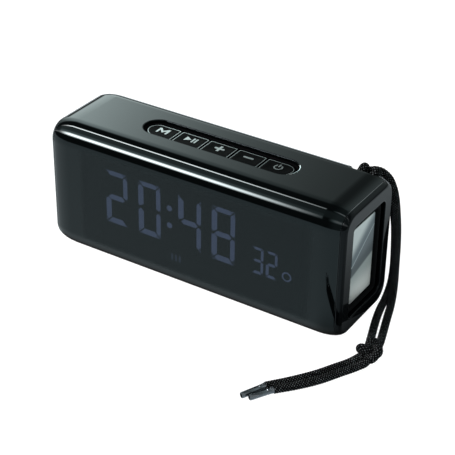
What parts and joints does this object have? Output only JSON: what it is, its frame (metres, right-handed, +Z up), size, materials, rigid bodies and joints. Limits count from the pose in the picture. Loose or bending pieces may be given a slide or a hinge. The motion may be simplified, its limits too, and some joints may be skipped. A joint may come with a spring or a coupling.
{
  "type": "clock radio",
  "caption": "Long rounded clock radio with a smoked mirror front, a lit digital clock, a row of top buttons, a bright radiator plate in each end and a doubled wrist lanyard.",
  "frame": {"origin": "middle of the footprint, on the surface the base pad stands on", "axes": "+X along the length towards the lanyard end, -Y the display side, +Z up"},
  "size_m": [0.1878, 0.1144, 0.07],
  "materials": {
    "gloss_black": "piano gloss, smoked",
    "satin_black": "fine satin",
    "rubber_black": "smooth rubber",
    "mirror_plate": "polished bright plate",
    "steel": "plated",
    "glow": "pale lavender diffuser",
    "board_green": "green solder mask",
    "magnet": "dark ferrite",
    "cone_black": "pressed paper",
    "cell_wrap": "shrink-wrapped cell",
    "cord_black": "braided polyester",
    "aglet_grey": "crimped dark grey tube"
  },
  "bodies": {
    "case": {"front_shell": "gloss_black", "end_cap_left": "gloss_black", "end_cap_right": "gloss_black", "rear_panel": "satin_black", "rear_screws": "steel", "base_pad": "rubber_black", "radiator_surround_left": "rubber_black", "radiator_surround_right": "rubber_black", "button_tray": "satin_black", "button_board": "board_green", "tact_switches": "steel", "light_mask": "satin_black", "time_digits": "glow", "colon_dots": "glow", "temperature_digits": "glow", "degree_mark": "glow", "indicator_marks": "glow", "display_board": "board_green", "speaker_frame_left": "steel", "speaker_frame_right": "steel", "speaker_magnet_left": "magnet", "speaker_magnet_right": "magnet", "main_board": "board_green", "aux_jack": "satin_black", "charge_socket": "steel", "card_slot": "steel", "battery_cell": "cell_wrap", "battery_cradle": "satin_black", "lanyard_bar": "steel", "lanyard_hitch": "cord_black", "lanyard_leg_outer": "cord_black", "lanyard_leg_inner": "cord_black", "lanyard_knot": "cord_black", "lanyard_tail_left": "cord_black", "lanyard_tail_right": "cord_black", "aglet_left": "aglet_grey", "aglet_right": "aglet_grey"},
    "mode_key": {"button_mode": "gloss_black"},
    "play_pause_key": {"button_play_pause": "gloss_black"},
    "volume_up_key": {"button_volume_up": "gloss_black"},
    "volume_down_key": {"button_volume_down": "gloss_black"},
    "power_key": {"button_power": "gloss_black"},
    "left_radiator": {"radiator_plate_left": "mirror_plate"},
    "right_radiator": {"radiator_plate_right": "mirror_plate"},
    "left_cone": {"speaker_cone_left": "cone_black"},
    "right_cone": {"speaker_cone_right": "cone_black"}
  },
  "joints": [
    {"name": "mode_key_press", "type": "slide", "parent": "case", "child": "mode_key", "axis": [0, 0, -1], "range_m": [0, 0.0005], "stiffness_N_per_m": 800},
    {"name": "play_pause_key_press", "type": "slide", "parent": "case", "child": "play_pause_key", "axis": [0, 0, -1], "range_m": [0, 0.0005], "stiffness_N_per_m": 800},
    {"name": "volume_up_key_press", "type": "slide", "parent": "case", "child": "volume_up_key", "axis": [0, 0, -1], "range_m": [0, 0.0005], "stiffness_N_per_m": 800},
    {"name": "volume_down_key_press", "type": "slide", "parent": "case", "child": "volume_down_key", "axis": [0, 0, -1], "range_m": [0, 0.0005], "stiffness_N_per_m": 800},
    {"name": "power_key_press", "type": "slide", "parent": "case", "child": "power_key", "axis": [0, 0, -1], "range_m": [0, 0.0005], "stiffness_N_per_m": 800},
    {"name": "left_radiator_move", "type": "slide", "parent": "case", "child": "left_radiator", "axis": [-1, 0, 0], "range_m": [-0.0012, 0.0012], "stiffness_N_per_m": 500},
    {"name": "right_radiator_move", "type": "slide", "parent": "case", "child": "right_radiator", "axis": [1, 0, 0], "range_m": [-0.0012, 0.0012], "stiffness_N_per_m": 500},
    {"name": "left_cone_move", "type": "slide", "parent": "case", "child": "left_cone", "axis": [0, 1, 0], "range_m": [-0.0008, 0.0008], "stiffness_N_per_m": 500},
    {"name": "right_cone_move", "type": "slide", "parent": "case", "child": "right_cone", "axis": [0, 1, 0], "range_m": [-0.0008, 0.0008], "stiffness_N_per_m": 500}
  ]
}
